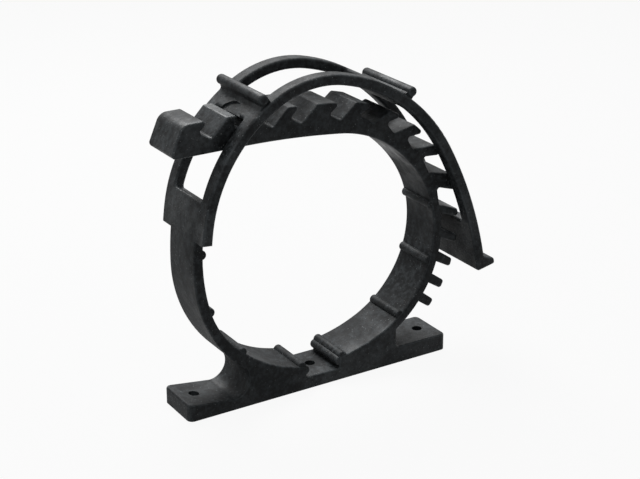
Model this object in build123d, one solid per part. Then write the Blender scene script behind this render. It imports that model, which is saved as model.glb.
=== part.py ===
from build123d import *
from math import cos, radians, sin, tan
import os

# Base block, millimetres
base_length = 203.0
body_width = 35.4
side_draft = 0.5
foot_height = 11.8
foot_corner = 4.0
hole_diameter = 7.2
hole_inset = 12.5
notch_length = 26.0
notch_floor = 8.4
sweep_radius = 12.0
web_radius = 3.0

# Ring, band and strap
ring_bore = 164.0
ring_floor = 15.6
band_thickness = 6.5
strap_thickness = 7.0
strap_round = 2.0
window_gap = 1.0
rail_width = 10.7
window_corner = 2.2
recess_depth = 1.3
recess_radius = 12.0

# Toothed arm
arm_height = 20.8
floor_gain = 3.1
floor_sink = 0.5
slot_lean = 46.0
low_lean = 14.0
head_slope = 9.0
head_round = 7.5
chin_round = 2.8
tip_round = 1.8
peg_width = 6.8
peg_count = 5

# Ribs, ridges and edges
rod_radius = 3.3
rod_rise = 4.8
rod_overhang = 0.2
ridge_radius = 3.2
ridge_height = 2.7
ridge_setback = 0.8
lip_reach = 8.0
lip_round = 1.6
edge_round = 1.5

# All lengths along the tracks follow the bore
k = ring_bore / 164.0
# The windows clear the arm, which is narrower than the base by its draft
window_width = body_width - 2 * 170 * k * tan(radians(side_draft)) + 2 * window_gap
strap_width = window_width + 2 * rail_width
rod_length = strap_width + 2 * rod_overhang


class Track:
    # Arcs that meet in line in the XZ plane; side is 1 for a left turn and -1 for a right turn.
    # The offset is measured to the right of the direction of travel.
    def __init__(self, x, z, heading, side, arcs):
        self.side = side
        self.parts = []
        self.length = 0.0
        for radius, sweep in arcs:
            a = radians(heading)
            cx = x - side * radius * sin(a)
            cz = z + side * radius * cos(a)
            self.parts.append((self.length, radius, heading, cx, cz))
            self.length += radius * radians(sweep)
            heading += side * sweep
            a = radians(heading)
            x = cx + side * radius * sin(a)
            z = cz - side * radius * cos(a)
        self.last = (x, z, heading)

    def heading(self, s):
        if s >= self.length:
            return self.last[2]
        part = [p for p in self.parts if p[0] <= max(s, 0.0)][-1]
        return part[2] + self.side * (s - part[0]) / part[1] * 180.0 / 3.141592653589793

    def spot(self, s, off=0.0):
        a = radians(self.heading(s))
        if s >= self.length:
            x = self.last[0] + (s - self.length) * cos(a)
            z = self.last[1] + (s - self.length) * sin(a)
        else:
            part = [p for p in self.parts if p[0] <= max(s, 0.0)][-1]
            x = part[3] + self.side * part[1] * sin(a)
            z = part[4] - self.side * part[1] * cos(a)
        return Vector(x + off * sin(a), 0, z - off * cos(a))

    def run(self, s0, s1, off=0.0):
        # Edges from station s0 to s1, forwards or backwards
        low, high = min(s0, s1), max(s0, s1)
        cuts = [low] + [p[0] for p in self.parts if low < p[0] < high]
        if low < self.length < high:
            cuts.append(self.length)
        cuts.append(high)
        if s0 > s1:
            cuts.reverse()
        edges = []
        for a, b in zip(cuts[:-1], cuts[1:]):
            if min(a, b) >= self.length:
                edges.append(Line(self.spot(a, off), self.spot(b, off)))
            else:
                edges.append(ThreePointArc(self.spot(a, off), self.spot((a + b) / 2, off), self.spot(b, off)))
        return edges

    def strip(self, s0, s1, off0, off1):
        # Face between two stations and two offsets
        edges = self.run(s0, s1, off0)
        edges.append(Line(self.spot(s1, off0), self.spot(s1, off1)))
        edges += self.run(s1, s0, off1)
        edges.append(Line(self.spot(s0, off1), self.spot(s0, off0)))
        return Face(Wire(edges))


def slab(face, width):
    # Flat profile pushed out to both sides of the middle plane
    return extrude(face, amount=width / 2, dir=(0, 1, 0), both=True)


def polygon(points):
    return Face(Wire.make_polygon([Vector(p) for p in points], close=True))


def away(angle):
    return Vector(cos(radians(angle)), 0, sin(radians(angle)))


def soften(shape, edges, radius):
    # Largest round up to the wanted one that the edges can take
    for share in (1.0, 0.9, 0.8, 0.7, 0.6, 0.5, 0.4, 0.3):
        try:
            soft = fillet(edges, radius * share)
        except ValueError:
            continue
        if soft.is_valid and soft.volume > 0.9 * shape.volume:
            return soft
    raise ValueError("no round fits these edges")


# Inner line of the ring's right half and of the arm, from the middle of the ring floor to the head
inner = Track(0, ring_floor, 0, 1,
              [(112 * k, 24.4), (73.6 * k, 98.0), (98.3 * k, 22.0), (81.6 * k, 28.6), (576 * k, 7.0)])
# Inner line of the ring's left half up to the shoulder of the strap
left = Track(0, ring_floor, 180, -1, [(88 * k, 33.0), (110.3 * k, 12.2), (67.4 * k, 31.0), (131 * k, 19.9)])
# Outer line of the left leg and of the strap up to its end
bends = [(93.8 * k, 49.6), (222 * k, 9.0), (104.4 * k, 50.0)]
bends += [(71.8 * k, 43.9), (127.2 * k, 47.8), (289.5 * k, 18.1)]
outer = Track(-60.8 * k, 12.7 + ring_floor * k, 140, -1, bends)

# Stations of the features along the tracks
shoulder = 105 * k
left_top = left.length + shoulder - 105 * k
join = 145 * k
head_end = 374.2 * k
strap_end = 468.3 * k
windows = [(131 * k, 189 * k), (209 * k, 294 * k), (323 * k, 432 * k)]
rods = [(203.5 * k, rod_rise), (316.5 * k, rod_rise - 0.8)]
# Start, floor length and floor lean of each slot of the arm
slots = [(148 * k, 13.2 * k, 2), (172.5 * k, 13.2 * k, 5), (194 * k, 10.4 * k, 14), (213 * k, 10 * k, 18)]
slots += [(230.5 * k, 13 * k, 12), (254 * k, 9.6 * k, 21), (282.5 * k, 9.5 * k, 24), (303 * k, 8.6 * k, 26)]
slots += [(320 * k, 12.4 * k, 28), (346 * k, 9.4 * k, 30)]

# Base, left leg and ring band as one outline
web_x = 59.5 * k
web_station = 40 * k
for step in range(60):
    if inner.spot(web_station, band_thickness).X < web_x:
        web_station += 40 * k / 2 ** (step + 1)
    else:
        web_station -= 40 * k / 2 ** (step + 1)
half = base_length / 2
web_top = inner.spot(web_station, band_thickness)
leg_foot = outer.spot(0)
turn = outer.heading(0)
sweep_mid = leg_foot - sweep_radius * away(turn - 90)
sweep_low = Vector(sweep_mid.X, 0, sweep_mid.Z - sweep_radius)
body_edges = [
    Line((-half, 0, 0), (half, 0, 0)),
    Line((half, 0, 0), (half, 0, foot_height)),
    Line((half, 0, foot_height), (web_x + web_radius, 0, foot_height)),
    ThreePointArc(
        (web_x + web_radius, 0, foot_height),
        (web_x + web_radius * (1 - sin(radians(45))), 0, foot_height + web_radius * (1 - sin(radians(45)))),
        (web_x, 0, foot_height + web_radius),
    ),
    Line((web_x, 0, foot_height + web_radius), web_top),
]
body_edges += inner.run(web_station, join, band_thickness)
body_edges.append(Line(inner.spot(join, band_thickness), inner.spot(join)))
body_edges += inner.run(join, 0)
body_edges += left.run(0, left_top)
body_edges.append(Line(left.spot(left_top), outer.spot(shoulder + 7, strap_thickness - 1)))
body_edges.append(Line(outer.spot(shoulder + 7, strap_thickness - 1), outer.spot(shoulder + 7, 1)))
body_edges.append(Line(outer.spot(shoulder + 7, 1), outer.spot(shoulder)))
body_edges += outer.run(shoulder, 0)
body_edges.append(ThreePointArc(leg_foot, sweep_mid + sweep_radius * away((turn - 180) / 2), sweep_low))
body_edges.append(Line(sweep_low, (-half, 0, foot_height)))
body_edges.append(Line((-half, 0, foot_height), (-half, 0, 0)))
rough_width = body_width + 4
body = slab(Face(Wire(body_edges)), rough_width)

# Straight pegs outside the ring, leaning more from one to the next
for i in range(peg_count):
    s = (84.6 + 13 * i + 0.55 * i * i) * k
    foot = inner.spot(s, band_thickness - 1.5)
    back = away(inner.heading(s) + 180)
    out = away(inner.heading(s) - 90 - 7.6 * i)
    rise = 12.2 + 1.3 * i
    corners = [foot - back * peg_width / 2, foot + back * peg_width / 2]
    corners.append(corners[1] + out * rise + back * -0.4)
    corners.append(corners[0] + out * rise + back * 0.4)
    peg = slab(polygon(corners), rough_width)
    tips = [e for e in peg.edges().filter_by(Axis.Y) if (e.center() - foot).length > rise * 0.8]
    body += soften(peg, tips, tip_round)

# Toothed arm: a deep strip with leaning slots cut into it, and a rounded head
first, last = slots[0][0], slots[-1][0]
arm = slab(inner.strip(first - 8 * k, head_end, 0, arm_height), rough_width)
for s, length, lean in slots:
    share = (s - first) / (last - first)
    corner = inner.spot(s, band_thickness - floor_sink + floor_gain * min(1.0, 2.4 * share))
    wall = away(inner.heading(s) + 180 + slot_lean)
    far_wall = away(inner.heading(s) + 180 + slot_lean + low_lean * max(0.0, 1 - share / 0.3))
    far = corner + away(inner.heading(s) - lean) * length
    near = [corner, corner + wall * 35]
    if s == first:
        near = [corner, inner.spot(first - 9 * k, band_thickness), inner.spot(first - 9 * k, 2 * arm_height)]
    arm -= slab(polygon(near + [far + far_wall * 35, far]), rough_width + 2)
nose = polygon([
    inner.spot(head_end + 1, -1),
    inner.spot(head_end, 0),
    inner.spot(head_end - head_slope, arm_height),
    inner.spot(head_end - head_slope, arm_height + 5),
    inner.spot(head_end + 9, arm_height + 5),
])
arm -= slab(nose, rough_width + 2)
arm = arm.solids().sort_by(SortBy.VOLUME)[-1]
brow = inner.spot(head_end - head_slope, arm_height)
arm = soften(arm, [e for e in arm.edges().filter_by(Axis.Y) if (e.center() - brow).length < 1], head_round)
chin = inner.spot(head_end)
arm = soften(arm, [e for e in arm.edges().filter_by(Axis.Y) if (e.center() - chin).length < 1], chin_round)
start = inner.spot(first - 8 * k, band_thickness / 2)
creases = [e for e in arm.edges().filter_by(Axis.Y) if (e.center() - start).length > 10 * k]
arm = soften(arm, creases, tip_round)
body += arm

# Both sides lean in a little from the base to the top
reach = 4 * base_length
for side in (-1, 1):
    beside = Rot(side * side_draft, 0, 0) * Pos(0, side * reach / 2, 0) * Box(reach, reach, reach)
    body -= Pos(0, side * body_width / 2, foot_height) * beside

# Middle notch
body -= Pos(0, 0, notch_floor + 20) * Box(notch_length, body_width + 2, 40)

# Rounded ends of the base, then both side outlines
ends = [e for e in body.edges() if abs(e.center().X) > half - 0.1 and abs(e.center().Z - foot_height / 2) < 0.5]
ends = [e for e in ends if e.length < foot_height + 0.5 and abs(e.center().Y) > body_width / 2 - 1]
body = soften(body, ends, foot_corner)
sides = [f for f in body.faces() if abs(f.normal_at().Y) > 0.99 and f.area > 2000]
rims = [e for f in sides for e in f.edges() if e.center().Z > 0.1]
body = soften(body, rims, edge_round)

# Ladder strap with its windows
strap = slab(outer.strip(shoulder, strap_end, 0, strap_thickness), strap_width)
for low, high in windows:
    old = [e.center() for e in strap.edges()]
    strap -= slab(outer.strip(low, high, -3, strap_thickness + 3), window_width)
    for s in (low, high):
        mid = outer.spot(s, strap_thickness / 2)
        spots = [mid + Vector(0, side * window_width / 2, 0) for side in (-1, 1)]
        corners = [e for e in strap.edges() if any((e.center() - p).length < 0.3 for p in spots)]
        strap = soften(strap, corners, window_corner)
    rims = []
    for e in strap.edges():
        fresh = all((e.center() - c).length > 0.05 for c in old)
        bent = e.geom_type != GeomType.LINE
        if fresh and abs(e.center().Y) < window_width / 2 + 0.1 and (bent or abs(e.tangent_at(0.5).Y) > 0.99):
            rims.append(e)
    strap = soften(strap, rims, strap_round)

# Pull lip at the end of the strap, standing outwards
tip = outer.spot(strap_end)
along = away(outer.heading(strap_end))
out = away(outer.heading(strap_end) + 90)
under = tip - out * strap_thickness
ledge = [tip + out * lip_reach - along * 2, tip + out * lip_reach + along * 2, under + along * 2]
lip_edge = [tip - along * 7 - out * 2, tip - along * 7] + ledge + [under - along * 2]
strap += slab(polygon(lip_edge), strap_width)
ledges = [e for e in strap.edges().filter_by(Axis.Y) if any((e.center() - p).length < 0.2 for p in ledge)]
strap = soften(strap, ledges, lip_round)

# Soft side edges of the strap
flanks = [f for f in strap.faces().filter_by(Axis.Y) if abs(f.center().Y) > strap_width / 2 - 0.1]
strap = soften(strap, [e for f in flanks for e in f.edges()], strap_round)

# Shallow arched recess in the first crossbar, above the first window
middle = windows[0][1] - 4 * k
facing = Plane(origin=outer.spot(middle), z_dir=away(outer.heading(middle) + 90))
drum = facing * Cylinder(recess_radius * k, 20)
strap -= slab(outer.strip(middle, rods[0][0] - 4 * k, -2, recess_depth), window_width) & drum

# Rods on the crossbars: a round bead on a neck that flares out at its foot
for s, rise in rods:
    bead = outer.spot(s, -rise)
    back = away(outer.heading(s))
    rod = Pos(bead.X, 0, bead.Z) * Rot(90, 0, 0) * Cylinder(rod_radius, rod_length)
    rod = fillet(rod.edges(), rod_radius * 0.6)
    neck = slab(polygon([
        bead - back * rod_radius * 0.6,
        bead + back * rod_radius,
        outer.spot(s, 2) + back * rod_radius,
        outer.spot(s - 6, 2),
        outer.spot(s - 5.5, 0),
        outer.spot(s - 3.2, -1),
    ]), strap_width - 2 * strap_round)
    strap += rod + neck

clamp = body + strap

# Half-round ridges across the inside of the ring, nearly as long as the band is wide there
def ridge(x, z):
    length = body_width - 2 * (z - foot_height) * tan(radians(side_draft)) - 2 * ridge_setback
    bar = Pos(x, 0, z) * Rot(90, 0, 0) * Cylinder(ridge_radius, length)
    return fillet(bar.edges(), 1.2)


deep = ridge_radius - ridge_height
for s in (16, 66.5, 109.5, 150.5):
    spot = inner.spot(s * k, deep)
    clamp += ridge(spot.X, spot.Z)
for s in (16, 66.5, 107, 147.5):
    spot = left.spot(s * k, -deep)
    clamp += ridge(spot.X, spot.Z)
for side in (-1, 1):
    clamp += ridge(side * (notch_length / 2 + deep), notch_floor + 4.8)

# Screw holes
for x in (-half + hole_inset, 0, half - hole_inset):
    clamp -= Pos(x, 0, 0) * Cylinder(hole_diameter / 2, 60)

os.makedirs("parts", exist_ok=True)
export_step(clamp.solid(), "parts/clamp_body.step")
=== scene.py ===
import math

import bpy
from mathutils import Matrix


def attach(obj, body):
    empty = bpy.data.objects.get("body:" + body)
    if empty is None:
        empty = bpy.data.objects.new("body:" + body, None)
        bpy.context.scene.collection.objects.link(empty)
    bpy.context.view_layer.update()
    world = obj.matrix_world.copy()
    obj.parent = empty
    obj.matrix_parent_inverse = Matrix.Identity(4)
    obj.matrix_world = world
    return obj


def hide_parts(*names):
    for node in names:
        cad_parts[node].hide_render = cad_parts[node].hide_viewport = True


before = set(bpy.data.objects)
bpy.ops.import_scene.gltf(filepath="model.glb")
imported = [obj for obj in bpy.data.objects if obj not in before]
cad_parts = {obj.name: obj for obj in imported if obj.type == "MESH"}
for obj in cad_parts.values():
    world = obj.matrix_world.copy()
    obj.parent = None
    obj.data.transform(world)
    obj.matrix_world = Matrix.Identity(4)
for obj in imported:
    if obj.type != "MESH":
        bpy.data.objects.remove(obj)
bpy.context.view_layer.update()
scene = bpy.context.scene
scene.view_settings.view_transform = "Standard"


class Shade:  # a socket that understands arithmetic
    def __init__(self, tree, socket=None):
        self.tree = tree
        self.socket = socket

    def node(self, kind, settings, sockets, out=0):  # settings first, then values or links of the sockets
        made = self.tree.nodes.new(kind)
        for key, value in settings.items():
            setattr(made, key, value)
        for key, value in sockets.items():
            if isinstance(value, Shade):
                self.tree.links.new(value.socket, made.inputs[key])
            else:
                made.inputs[key].default_value = value
        return Shade(self.tree, made.outputs[out] if made.outputs else None)

    def maths(self, operation, a, b):
        return self.node("ShaderNodeMath", {"operation": operation}, {0: a, 1: b})

    def __add__(self, other):
        return self.maths("ADD", self, other)

    def __radd__(self, other):
        return self.maths("ADD", other, self)

    def __sub__(self, other):
        return self.maths("SUBTRACT", self, other)

    def __rsub__(self, other):
        return self.maths("SUBTRACT", other, self)

    def __mul__(self, other):
        return self.maths("MULTIPLY", self, other)

    def __rmul__(self, other):
        return self.maths("MULTIPLY", other, self)

    def __gt__(self, other):
        return self.maths("GREATER_THAN", self, other)

    def __lt__(self, other):
        return self.maths("LESS_THAN", self, other)


def newMaterial(name):
    material = bpy.data.materials.new(name)
    material.use_nodes = True
    material.node_tree.nodes.clear()
    return material, Shade(material.node_tree)


# Moulded rubber
rubberLook = {
    "deep": (0.0042, 0.0048, 0.0053, 1),      # colour of the clean rubber
    "paleBloomAndHighlight": (0.0440, 0.0495, 0.0530, 1),     # pale bloom in patches, and the painted highlight, partly wear, on round rims
    "speck": (0.18, 0.19, 0.19, 1),           # tiny pale grains
    # scale, detail, and the two levels between which a noise rises from 0 to 1
    "cloud": (9.0, 2.0, 0.35, 0.65),
    "patch": (34.0, 4.0, 0.40, 0.64),
    "mottle": (170.0, 3.0, 0.36, 0.66),
    "grain": (380.0, 3.0, 0.34, 0.68),
    "noiseRoughness": 0.6,
    "upFrom": (-0.2, 1.0),                    # faces turned up, by the height of their normal
    "rimStart": (0.1, 0.45),                  # round rims, by how far their normal leans to the flank
    "rimEnd": (0.78, 0.98),
    "rimWearAndHighlightBase": 0.2,
    "rimWearAndHighlightPatch": 0.6,
    "patchBloom": 0.55,
    "mottleBloom": 0.46,
    "grainBloom": 0.6,
    "cleanShare": 0.36,                       # bloom below this much doesn't show
    # painted shade: how much darker faces turned up are coloured
    "upPaintedShade": 0.06,
    "speckScale": 690.0,
    "speckSize": 0.21,                        # share of the way to the next speck
    "speckPick": 0.92,                        # only cells drawn above this hold a speck
    "speckUp": 0.1,
    "speckPatch": 0.3,
    "speckFaint": 0.2,
    "speckGrain": 0.6,
    "roughness": 0.62,
    "patchSheen": 0.42,
    "grainRoughness": 0.08,
    "specular": 0.12,
    "grainHeight": 0.25,
    "mottleHeight": 0.4,
    "patchHeight": 0.5,
    "speckHeight": 0.15,
    "bumpStrength": 0.3,
    "bumpDepth": 0.0006,
}


def makeRubber(look):
    material, shade = newMaterial("mouldedRubber")
    place = shade.node("ShaderNodeTexCoord", {}, {}, "Object")
    normal = shade.node("ShaderNodeTexCoord", {}, {}, "Normal")

    def rise(value, levels):  # 0 below the first level, 1 above the second
        low, high = levels
        return shade.node("ShaderNodeMapRange", {}, {"Value": value, "From Min": low, "From Max": high})

    def noise(name):
        scale, detail, low, high = look[name]
        raw = shade.node("ShaderNodeTexNoise", {}, {
            "Vector": place, "Scale": scale, "Detail": detail, "Roughness": look["noiseRoughness"]})
        return rise(raw, (low, high))

    cloud = noise("cloud")
    patch = noise("patch")
    mottle = noise("mottle")
    grain = noise("grain")

    # which way the surface faces
    facing = shade.node("ShaderNodeSeparateXYZ", {}, {"Vector": normal}, "Z")
    lean = shade.node("ShaderNodeSeparateXYZ", {}, {"Vector": normal}, "Y")
    sideways = shade.maths("ABSOLUTE", lean, 0.0)
    up = rise(facing, look["upFrom"])
    rim = rise(sideways, look["rimStart"]) * (1 - rise(sideways, look["rimEnd"]))

    # pale specks in some cells
    dots = {"Vector": place, "Scale": look["speckScale"], "Randomness": 1.0}
    far = shade.node("ShaderNodeTexVoronoi", {"feature": "F1"}, dots, "Distance")
    tint = shade.node("ShaderNodeTexVoronoi", {"feature": "F1"}, dots, "Color")
    pick = shade.node("ShaderNodeSeparateColor", {}, {"Color": tint}, "Red")
    rare = look["speckPick"] - up * look["speckUp"] - patch * cloud * look["speckPatch"]
    speck = (far < look["speckSize"]) * (pick > rare)

    # round rims lightened in colour: partly wear, partly a painted highlight where rounded edges catch
    # the light
    rimWearAndHighlight = rim * (look["rimWearAndHighlightBase"] + cloud * patch * look["rimWearAndHighlightPatch"])
    # bloom from patches, mottle and grain, plus the painted rim highlight, less the painted shade on
    # faces turned up
    bloomAndPaintedLight = patch * cloud * look["patchBloom"] + mottle * look["mottleBloom"] + grain * look["grainBloom"]
    # faces turned up get painted shade, a darker colour
    bloomAndPaintedLight = bloomAndPaintedLight + rimWearAndHighlight - look["cleanShare"] - up * look["upPaintedShade"]
    colour = shade.node("ShaderNodeMix", {"data_type": "RGBA"}, {
        "Factor": bloomAndPaintedLight, 6: look["deep"], 7: look["paleBloomAndHighlight"]}, 2)
    pale = speck * (look["speckFaint"] + grain * look["speckGrain"])
    colour = shade.node("ShaderNodeMix", {"data_type": "RGBA"}, {
        "Factor": pale, 6: colour, 7: look["speck"]}, 2)

    rough = look["roughness"] - patch * cloud * look["patchSheen"] + grain * look["grainRoughness"]
    height = grain * look["grainHeight"] + mottle * look["mottleHeight"]
    height = height + patch * look["patchHeight"] + speck * look["speckHeight"]
    bump = shade.node("ShaderNodeBump", {}, {
        "Strength": look["bumpStrength"], "Distance": look["bumpDepth"], "Height": height})
    surface = shade.node("ShaderNodeBsdfPrincipled", {}, {
        "Base Color": colour, "Roughness": rough, "Normal": bump, "Specular IOR Level": look["specular"]})
    shade.node("ShaderNodeOutputMaterial", {}, {"Surface": surface})
    return material


rubber = makeRubber(rubberLook)
print("rubber material made")


# Clamp skin: the moulding with welded corners and smooth shading
skinSizes = {
    "Weld distance": 0.00001,
    "Sharp angle": math.radians(42),
}


def makeSkinTree(material, sizes):
    tree = bpy.data.node_groups.new("clampSkin", "GeometryNodeTree")
    tree.interface.new_socket("Geometry", in_out="INPUT", socket_type="NodeSocketGeometry")
    sockets = {}
    for name in sizes:
        socket = tree.interface.new_socket(name, in_out="INPUT", socket_type="NodeSocketFloat")
        sockets[name] = socket.identifier
    tree.interface.new_socket("Geometry", in_out="OUTPUT", socket_type="NodeSocketGeometry")
    nodes, links = tree.nodes, tree.links
    entry = nodes.new("NodeGroupInput")
    weld = nodes.new("GeometryNodeMergeByDistance")
    angle = nodes.new("GeometryNodeInputMeshEdgeAngle")
    soft = nodes.new("FunctionNodeCompare")
    soft.data_type = "FLOAT"
    soft.operation = "LESS_THAN"
    smooth = nodes.new("GeometryNodeSetShadeSmooth")
    creases = nodes.new("GeometryNodeSetShadeSmooth")
    creases.domain = "EDGE"
    realize = nodes.new("GeometryNodeRealizeInstances")
    coat = nodes.new("GeometryNodeSetMaterial")
    coat.inputs["Material"].default_value = material
    leave = nodes.new("NodeGroupOutput")
    links.new(entry.outputs["Geometry"], weld.inputs["Geometry"])
    links.new(entry.outputs["Weld distance"], weld.inputs["Distance"])
    links.new(weld.outputs["Geometry"], smooth.inputs["Geometry"])
    links.new(smooth.outputs["Geometry"], creases.inputs["Geometry"])
    links.new(angle.outputs["Unsigned Angle"], soft.inputs[0])
    links.new(entry.outputs["Sharp angle"], soft.inputs[1])
    links.new(soft.outputs["Result"], creases.inputs["Shade Smooth"])
    links.new(creases.outputs["Geometry"], realize.inputs["Geometry"])
    links.new(realize.outputs["Geometry"], coat.inputs["Geometry"])
    links.new(coat.outputs["Geometry"], leave.inputs["Geometry"])
    return tree, sockets


def makeSkin(node, material, sizes):
    raw = bpy.data.objects.new("skinRaw", node.data.copy())
    scene.collection.objects.link(raw)
    tree, sockets = makeSkinTree(material, sizes)
    modifier = raw.modifiers.new("clampSkin", "NODES")
    modifier.node_group = tree
    for name, value in sizes.items():
        modifier[sockets[name]] = value
    even = raw.modifiers.new("evenNormals", "WEIGHTED_NORMAL")  # flat faces stay flat beside round edges
    even.keep_sharp = True
    depsgraph = bpy.context.evaluated_depsgraph_get()
    finished = raw.evaluated_get(depsgraph)
    mesh = bpy.data.meshes.new_from_object(finished, preserve_all_data_layers=True, depsgraph=depsgraph)
    bpy.data.objects.remove(raw)
    mesh.name = "clampSkin"
    skin = bpy.data.objects.new("clampSkin", mesh)
    scene.collection.objects.link(skin)
    return skin


clampSkin = makeSkin(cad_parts["clamp_body"], rubber, skinSizes)
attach(clampSkin, "root")
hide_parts("clamp_body")
print("clamp skin made,", len(clampSkin.data.polygons), "faces")


# Studio: pale floor, white surroundings, soft lamps
white = (1, 1, 1, 1)
studio = {
    "floorSize": 8.0,
    "floorDrop": 0.0003,        # keeps the floor clear of the base
    "floorColour": (0.30, 0.30, 0.30, 1),
    "floorGlow": 0.93,          # share of plain white that the camera sees on the floor
    "fill": 0.15,
}


def seenRays(shade):  # rays that show the background itself
    camera = shade.node("ShaderNodeLightPath", {}, {}, "Is Camera Ray")
    glossy = shade.node("ShaderNodeLightPath", {}, {}, "Is Glossy Ray")
    through = shade.node("ShaderNodeLightPath", {}, {}, "Is Transmission Ray")
    return shade.maths("MINIMUM", camera + glossy + through, 1.0)


def makeFloor(look):
    half = look["floorSize"] / 2
    low = -look["floorDrop"]
    mesh = bpy.data.meshes.new("floor")
    corners = [(-half, -half, low), (half, -half, low), (half, half, low), (-half, half, low)]
    mesh.from_pydata(corners, [], [(0, 1, 2, 3)])
    floor = bpy.data.objects.new("floor", mesh)
    scene.collection.objects.link(floor)
    material, shade = newMaterial("paleFloor")
    matt = shade.node("ShaderNodeBsdfDiffuse", {}, {"Color": look["floorColour"]})
    glow = shade.node("ShaderNodeEmission", {}, {"Color": white, "Strength": 1.0})
    share = seenRays(shade) * look["floorGlow"]
    both = shade.node("ShaderNodeMixShader", {}, {"Fac": share, 1: matt, 2: glow})
    shade.node("ShaderNodeOutputMaterial", {}, {"Surface": both})
    mesh.materials.append(material)


def makeSurroundings(look):
    world = bpy.data.worlds.new("studio")
    world.use_nodes = True
    world.node_tree.nodes.clear()
    sky = Shade(world.node_tree)
    strength = look["fill"] + seenRays(sky) * (1 - look["fill"])
    light = sky.node("ShaderNodeBackground", {}, {"Color": white, "Strength": strength})
    sky.node("ShaderNodeOutputWorld", {}, {"Surface": light})
    scene.world = world


lamps = {
    "topBack": {"at": (0.10, 0.62, 0.95), "size": 0.7, "power": 22.0},
    "leftFront": {"at": (-0.85, -0.60, 1.05), "size": 0.8, "power": 5.0},
}
lampAim = (0.01, 0.0, 0.1)


def makeLamps(plan, aim):
    for name, one in plan.items():
        data = bpy.data.lights.new(name, "AREA")
        data.shape = "SQUARE"
        data.size = one["size"]
        data.energy = one["power"]
        lamp = bpy.data.objects.new(name, data)
        lamp.location = one["at"]
        toward = [a - b for a, b in zip(aim, one["at"])]
        flat = math.hypot(toward[0], toward[1])
        lamp.rotation_euler = (math.atan2(flat, -toward[2]), 0, math.atan2(-toward[0], toward[1]))
        scene.collection.objects.link(lamp)


makeFloor(studio)
makeSurroundings(studio)
makeLamps(lamps, lampAim)
print("studio made")


cameraPlan = {
    "at": (-0.494244, -0.801381, 0.484342),
    "down": 22.255,     # degrees below the level
    "turn": -32.086,    # degrees about the upright
    "lens": 86.88,
    "sensor": 36,
}


def makeCamera(plan):
    data = bpy.data.cameras.new("photoCamera")
    data.lens = plan["lens"]
    data.sensor_width = plan["sensor"]
    data.sensor_fit = "HORIZONTAL"
    camera = bpy.data.objects.new("photoCamera", data)
    camera.location = plan["at"]
    camera.rotation_euler = (math.radians(90 - plan["down"]), 0, math.radians(plan["turn"]))
    scene.collection.objects.link(camera)
    scene.camera = camera


makeCamera(cameraPlan)
print("camera set")
